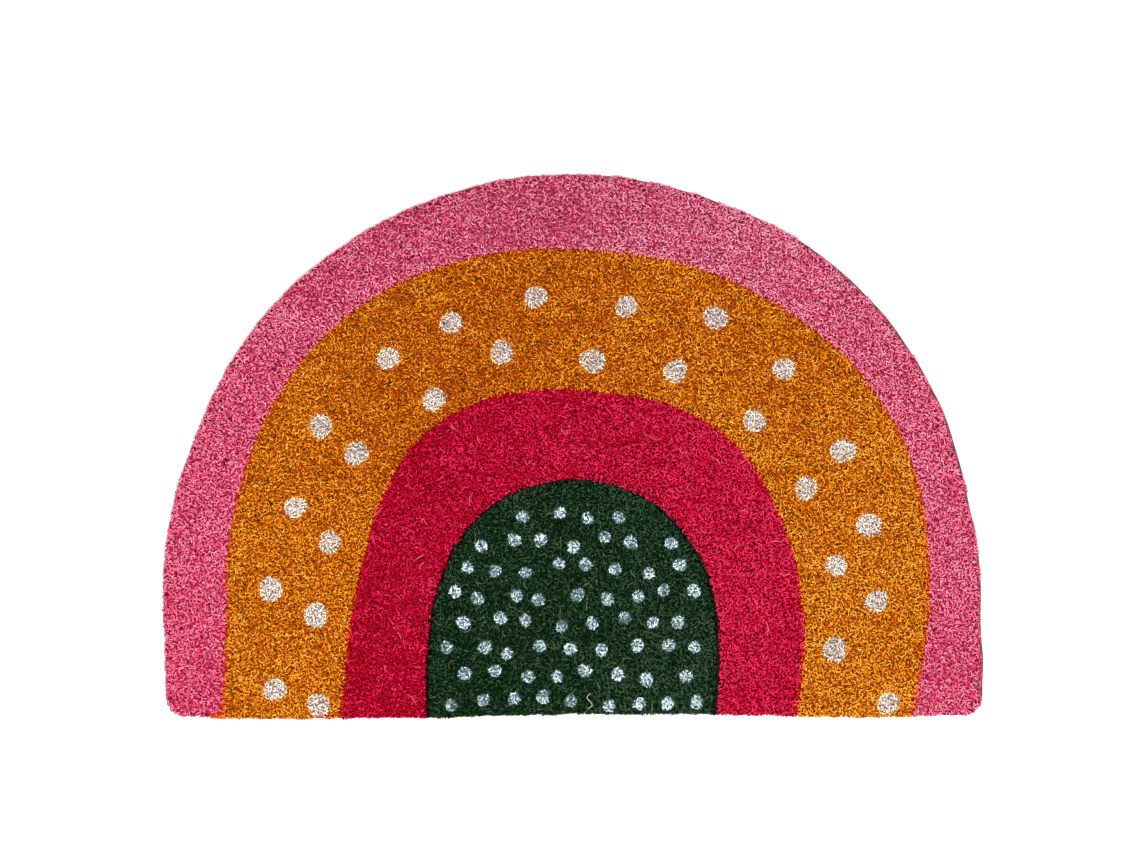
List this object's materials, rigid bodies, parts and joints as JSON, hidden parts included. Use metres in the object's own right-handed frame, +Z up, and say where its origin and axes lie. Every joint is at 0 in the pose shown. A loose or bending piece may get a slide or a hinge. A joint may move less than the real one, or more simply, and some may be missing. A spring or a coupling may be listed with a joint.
{
  "type": "coir doormat",
  "caption": "Half-round doormat: a short, dense brush of printed coir fibre on a thin vinyl backing, to wipe shoes on at a door.",
  "frame": {"origin": "middle of the mat's outer box, on the floor it lies on", "axes": "+X along the straight edge, +Y from the straight edge towards the top of the arch, +Z up out of the brush"},
  "size_m": [0.752, 0.4994, 0.015],
  "materials": {
    "coir": "matt, coarse cut fibre",
    "print_pink": "matt pink print on coir",
    "print_ochre": "matt ochre print on coir",
    "print_crimson": "matt crimson print on coir",
    "print_green": "matt dark green print on coir",
    "print_dots": "matt off-white print on coir",
    "backing": "dull, moulded in one sheet"
  },
  "bodies": {
    "root": {"coir_brush": "coir", "vinyl_backing": "backing"}
  },
  "joints": []
}
